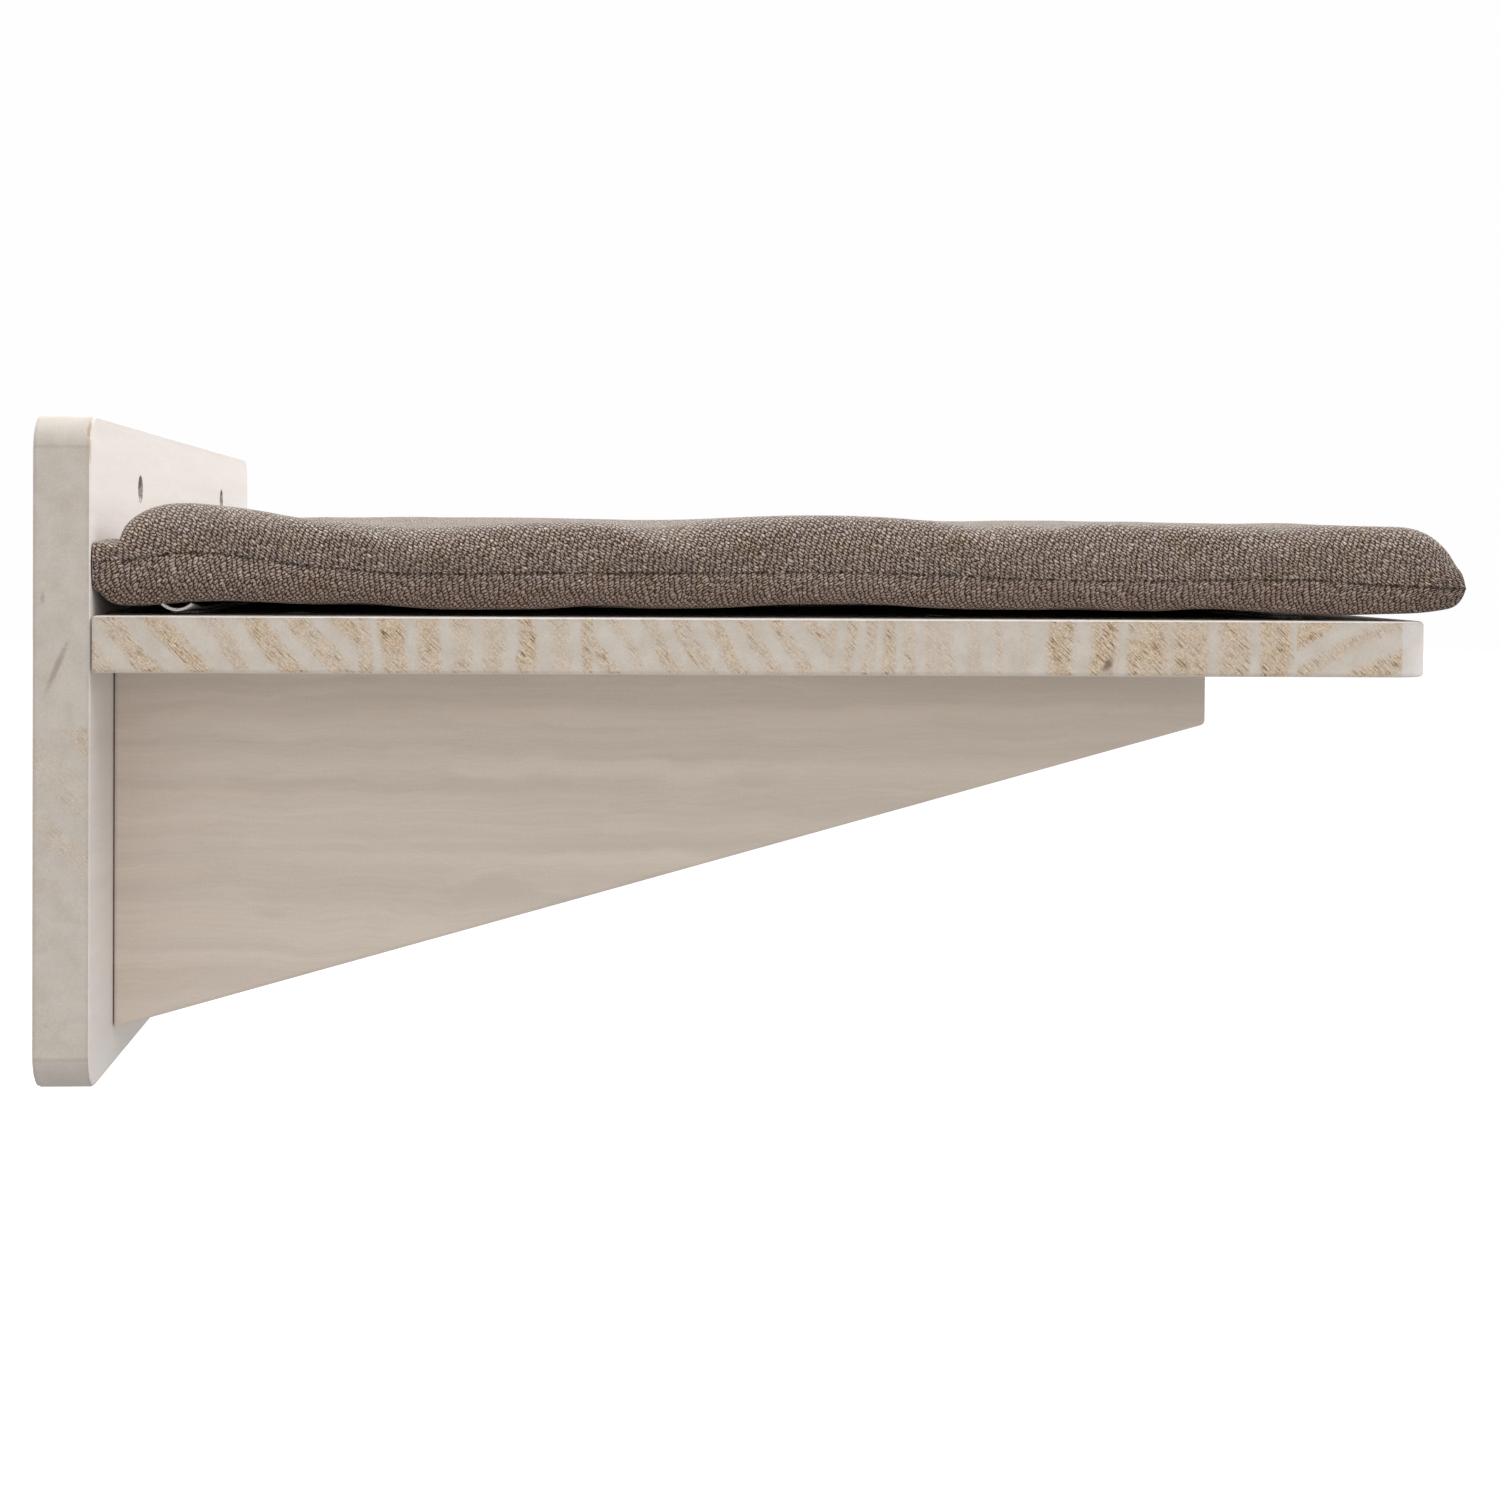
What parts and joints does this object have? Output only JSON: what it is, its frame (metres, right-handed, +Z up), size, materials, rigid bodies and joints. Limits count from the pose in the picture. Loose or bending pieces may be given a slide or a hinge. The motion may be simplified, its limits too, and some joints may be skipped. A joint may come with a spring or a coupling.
{
  "type": "cat wall platform",
  "caption": "Wall-mounted pine platform for a cat: an upright wall board, a level shelf on tapered brackets, and a stuffed removable cushion.",
  "frame": {"origin": "centre of the wall board's back face, where it lies on the wall", "axes": "+X out of the wall along the shelf, +Y along the wall to the right of someone facing it, +Z up"},
  "size_m": [0.4579, 0.4, 0.215],
  "materials": {
    "glazed_pine": "matte",
    "zinc_steel": "satin",
    "hook_and_loop_tape": "matte",
    "cushion_cover": "matte",
    "wadding": "matte"
  },
  "bodies": {
    "frame": {"wall_board": "glazed_pine", "shelf_board": "glazed_pine", "bracket_left": "glazed_pine", "bracket_right": "glazed_pine", "shelf_screw_1": "zinc_steel", "shelf_screw_2": "zinc_steel", "shelf_screw_3": "zinc_steel", "shelf_screw_4": "zinc_steel", "bracket_screw_1": "zinc_steel", "bracket_screw_2": "zinc_steel", "bracket_screw_3": "zinc_steel", "bracket_screw_4": "zinc_steel", "top_screw_1": "zinc_steel", "top_screw_2": "zinc_steel", "top_screw_3": "zinc_steel", "top_screw_4": "zinc_steel", "hook_strip_rear": "hook_and_loop_tape", "hook_strip_front": "hook_and_loop_tape"},
    "cushion": {"cushion_top_panel": "cushion_cover", "cushion_bottom_panel": "cushion_cover", "cushion_filling": "wadding", "loop_strip_rear": "hook_and_loop_tape", "loop_strip_front": "hook_and_loop_tape"}
  },
  "joints": [
    {"name": "cushion_lift", "type": "slide", "parent": "frame", "child": "cushion", "axis": [0, 0, 1], "range_m": [0, 0.1]}
  ]
}
